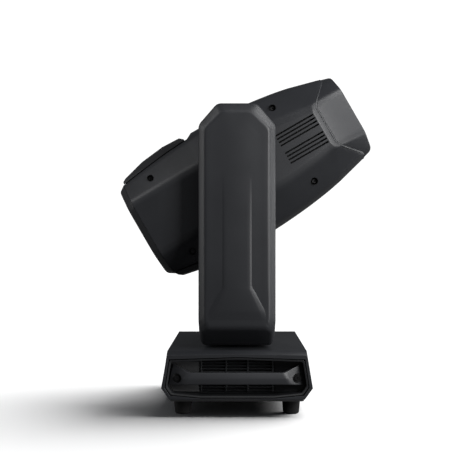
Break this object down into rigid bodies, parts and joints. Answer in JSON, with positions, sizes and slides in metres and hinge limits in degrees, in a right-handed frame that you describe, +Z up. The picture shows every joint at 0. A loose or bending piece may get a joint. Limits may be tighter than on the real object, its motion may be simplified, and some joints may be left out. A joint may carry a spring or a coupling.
{
  "type": "moving head light",
  "caption": "Stage light whose lamp head tilts in a yoke that pans on a base with carrying handles, with zoom, focus, colour and gobo wheels inside.",
  "frame": {"origin": "middle of the base plate's underside, on the pan axis; the feet reach 32 mm below it", "axes": "+Z up along the pan axis; +Y along the tilt axis; at rest the lens points 30 degrees above +X"},
  "size_m": [0.5488, 0.444, 0.7115],
  "materials": {
    "housing_plastic": "satin charcoal moulding, fine grain",
    "trim_plastic": "matt black moulding",
    "yoke_metal": "charcoal powder coat",
    "black_steel": "black powder coat",
    "rubber": "matt",
    "aluminium": "machined",
    "lens_glass": "coated optical glass",
    "screen_glass": "gloss",
    "button_plastic": "satin"
  },
  "bodies": {
    "base": {"base_plate": "black_steel", "base_housing": "housing_plastic", "base_frame": "black_steel", "end_panel_front": "trim_plastic", "end_panel_back": "trim_plastic", "handle_front": "housing_plastic", "handle_back": "housing_plastic", "foot_1": "rubber", "foot_2": "rubber", "foot_3": "rubber", "foot_4": "rubber", "display_bezel": "trim_plastic", "display_screen": "screen_glass", "connector_panel": "trim_plastic", "power_inlet": "trim_plastic", "data_in": "trim_plastic", "data_out": "trim_plastic", "pan_bearing": "aluminium", "power_supply": "aluminium", "pan_motor": "black_steel", "pan_belt": "rubber"},
    "yoke": {"yoke_frame": "yoke_metal", "arm_cover_front": "housing_plastic", "arm_cover_back": "housing_plastic", "yoke_cover": "housing_plastic", "pan_shaft": "black_steel", "pan_pulley": "aluminium", "tilt_bearing_front": "aluminium", "tilt_bearing_back": "aluminium", "tilt_motor": "black_steel", "tilt_belt": "rubber"},
    "head": {"shell_front": "housing_plastic", "shell_back": "housing_plastic", "top_panel": "trim_plastic", "bottom_panel": "trim_plastic", "rear_cap": "housing_plastic", "front_cowl": "housing_plastic", "head_chassis": "aluminium", "trunnion_front": "aluminium", "trunnion_back": "aluminium", "tilt_pulley": "aluminium", "heat_sink": "aluminium", "led_module": "aluminium", "lens_barrel": "trim_plastic", "front_lens": "lens_glass"},
    "zoom": {"zoom_carriage": "black_steel", "zoom_lens": "lens_glass"},
    "focus": {"focus_carriage": "black_steel", "focus_lens": "lens_glass"},
    "pan_pinion": {"pan_pinion": "aluminium"},
    "tilt_pinion": {"tilt_pinion": "aluminium"},
    "pan_lock": {"pan_lock": "button_plastic"},
    "tilt_lock": {"tilt_lock": "button_plastic"},
    "cooling_fan": {"cooling_fan": "trim_plastic"},
    "colour_wheel": {"colour_wheel": "aluminium"},
    "gobo_wheel": {"gobo_wheel": "aluminium"},
    "menu_button_1": {"menu_button_1": "button_plastic"},
    "menu_button_2": {"menu_button_2": "button_plastic"},
    "menu_button_3": {"menu_button_3": "button_plastic"},
    "menu_button_4": {"menu_button_4": "button_plastic"}
  },
  "joints": [
    {"name": "pan", "type": "hinge", "parent": "base", "child": "yoke", "pos_m": [0, 0, 0.1], "axis": [0, 0, 1], "range_deg": [-270, 270]},
    {"name": "tilt", "type": "hinge", "parent": "yoke", "child": "head", "pos_m": [0, 0, 0.456], "axis": [0, 1, 0], "range_deg": [-195, 75]},
    {"name": "pan_pinion_spin", "type": "hinge", "parent": "base", "child": "pan_pinion", "pos_m": [0, 0.12, 0.073], "axis": [0, 0, 1], "range_deg": [-1310, 1310]},
    {"name": "tilt_pinion_spin", "type": "hinge", "parent": "yoke", "child": "tilt_pinion", "pos_m": [0, -0.164, 0.25], "axis": [0, 1, 0], "range_deg": [-790, 310]},
    {"name": "pan_lock_slide", "type": "slide", "parent": "base", "child": "pan_lock", "axis": [0, -1, 0], "range_m": [0, 0.014]},
    {"name": "tilt_lock_turn", "type": "hinge", "parent": "yoke", "child": "tilt_lock", "pos_m": [0, 0.139, 0.35], "axis": [0, 1, 0], "range_deg": [0, 90]},
    {"name": "fan_spin", "type": "hinge", "parent": "head", "child": "cooling_fan", "pos_m": [-0.17667, 0, 0.354], "axis": [0.866, 0, 0.5], "continuous": true},
    {"name": "colour_spin", "type": "hinge", "parent": "head", "child": "colour_wheel", "pos_m": [-0.00262, 0, 0.40253], "axis": [0.866, 0, 0.5], "continuous": true},
    {"name": "gobo_spin", "type": "hinge", "parent": "head", "child": "gobo_wheel", "pos_m": [0.01471, 0, 0.41253], "axis": [0.866, 0, 0.5], "continuous": true},
    {"name": "zoom_slide", "type": "slide", "parent": "head", "child": "zoom", "axis": [0.866, 0, 0.5], "range_m": [-0.03, 0.03]},
    {"name": "focus_slide", "type": "slide", "parent": "head", "child": "focus", "axis": [0.866, 0, 0.5], "range_m": [-0.012, 0.05]},
    {"name": "button_1_press", "type": "slide", "parent": "base", "child": "menu_button_1", "axis": [-0.9883, 0, -0.1525], "range_m": [0, 0.0015], "stiffness_N_per_m": 400, "springref_m": -0.0005},
    {"name": "button_2_press", "type": "slide", "parent": "base", "child": "menu_button_2", "axis": [-0.9883, 0, -0.1525], "range_m": [0, 0.0015], "stiffness_N_per_m": 400, "springref_m": -0.0005},
    {"name": "button_3_press", "type": "slide", "parent": "base", "child": "menu_button_3", "axis": [-0.9883, 0, -0.1525], "range_m": [0, 0.0015], "stiffness_N_per_m": 400, "springref_m": -0.0005},
    {"name": "button_4_press", "type": "slide", "parent": "base", "child": "menu_button_4", "axis": [-0.9883, 0, -0.1525], "range_m": [0, 0.0015], "stiffness_N_per_m": 400, "springref_m": -0.0005}
  ],
  "couplings": [
    {"joint": "pan_pinion_spin", "follows": "pan", "ratio": 4.8333},
    {"joint": "tilt_pinion_spin", "follows": "tilt", "ratio": 4}
  ]
}
